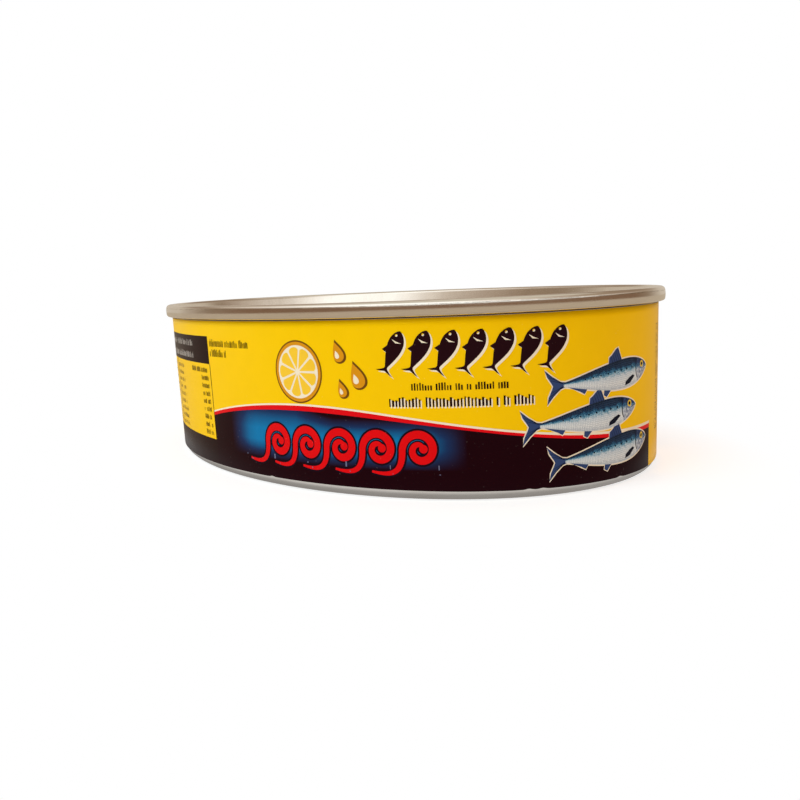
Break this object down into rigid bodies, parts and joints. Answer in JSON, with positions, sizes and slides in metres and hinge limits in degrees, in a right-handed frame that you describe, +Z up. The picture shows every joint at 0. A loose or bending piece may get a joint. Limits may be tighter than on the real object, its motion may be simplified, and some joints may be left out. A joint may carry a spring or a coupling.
{
  "type": "oval sardine tin",
  "caption": "Shut oval fish tin: drawn tinplate body on a stepped foot, double-seamed sunk lid, and a wrapped paper label that leaves a bare strip at the base.",
  "frame": {"origin": "centre of the tin's foot, on the surface it stands on", "axes": "+X along the long axis of the oval, +Z up through the lid; the label's picture panel lies on the -Y side and round the +X end"},
  "size_m": [0.1634, 0.111, 0.039],
  "materials": {
    "tinplate": "dull bright tinplate with faint drawing marks",
    "lid_plate": "tinplate with a clear warm lacquer",
    "printed_paper": "varnished printed paper, yellow with a dark wave"
  },
  "bodies": {
    "root": {"body": "tinplate", "lid": "lid_plate", "label": "printed_paper"}
  },
  "joints": []
}
